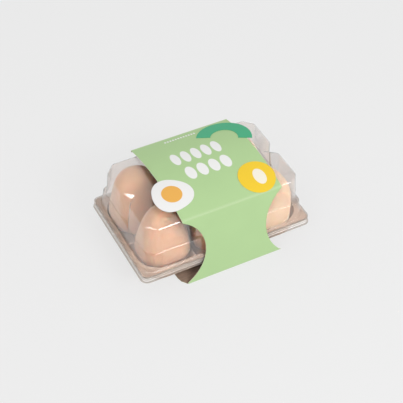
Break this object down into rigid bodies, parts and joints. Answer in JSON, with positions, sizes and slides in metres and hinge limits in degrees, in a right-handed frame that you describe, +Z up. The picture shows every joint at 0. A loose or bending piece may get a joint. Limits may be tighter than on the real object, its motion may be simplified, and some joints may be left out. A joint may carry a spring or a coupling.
{
  "type": "egg carton",
  "caption": "Rectangular egg carton: pulp tray, clear lid with faceted pockets, bowed card sleeve with round bites, plain labels and knitted socks rolled to egg shapes in its cells.",
  "frame": {"origin": "centre of the footprint, on the plane the sleeve's floor panel stands on", "axes": "+X along the carton's long side, +Y from its front to its back, +Z up"},
  "size_m": [0.152, 0.1072, 0.068],
  "materials": {
    "pulp": "rough matte moulded pulp, kraft brown",
    "clear_film": "thin clear glossy thermoformed film",
    "card": "satin printed light green outside, bare kraft brown inside",
    "white_paper": "satin white paper label with a plain orange disc",
    "teal_paper": "satin teal paper label",
    "yellow_paper": "satin yellow paper label",
    "knit": "fine peach-coloured rib knit"
  },
  "bodies": {
    "tray": {"base_tray": "pulp"},
    "lid": {"lid": "clear_film"},
    "sleeve": {"sleeve": "card", "blob_label": "white_paper", "arch_label": "teal_paper", "round_label": "yellow_paper"},
    "egg_front_left": {"sock_egg_front_left": "knit"},
    "egg_front_middle": {"sock_egg_front_middle": "knit"},
    "egg_front_right": {"sock_egg_front_right": "knit"},
    "egg_back_left": {"sock_egg_back_left": "knit"},
    "egg_back_middle": {"sock_egg_back_middle": "knit"},
    "egg_back_right": {"sock_egg_back_right": "knit"}
  },
  "joints": [
    {"name": "sleeve_slide", "type": "slide", "parent": "tray", "child": "sleeve", "axis": [1, 0, 0], "range_m": [-0.13, 0.13]},
    {"name": "lid_lift", "type": "slide", "parent": "tray", "child": "lid", "axis": [0, 0, 1], "range_m": [0, 0.0008]},
    {"name": "egg_front_left_lift", "type": "slide", "parent": "tray", "child": "egg_front_left", "axis": [0, 0, 1], "range_m": [0, 0.001]},
    {"name": "egg_front_middle_lift", "type": "slide", "parent": "tray", "child": "egg_front_middle", "axis": [0, 0, 1], "range_m": [0, 0.001]},
    {"name": "egg_front_right_lift", "type": "slide", "parent": "tray", "child": "egg_front_right", "axis": [0, 0, 1], "range_m": [0, 0.001]},
    {"name": "egg_back_left_lift", "type": "slide", "parent": "tray", "child": "egg_back_left", "axis": [0, 0, 1], "range_m": [0, 0.001]},
    {"name": "egg_back_middle_lift", "type": "slide", "parent": "tray", "child": "egg_back_middle", "axis": [0, 0, 1], "range_m": [0, 0.001]},
    {"name": "egg_back_right_lift", "type": "slide", "parent": "tray", "child": "egg_back_right", "axis": [0, 0, 1], "range_m": [0, 0.001]}
  ]
}
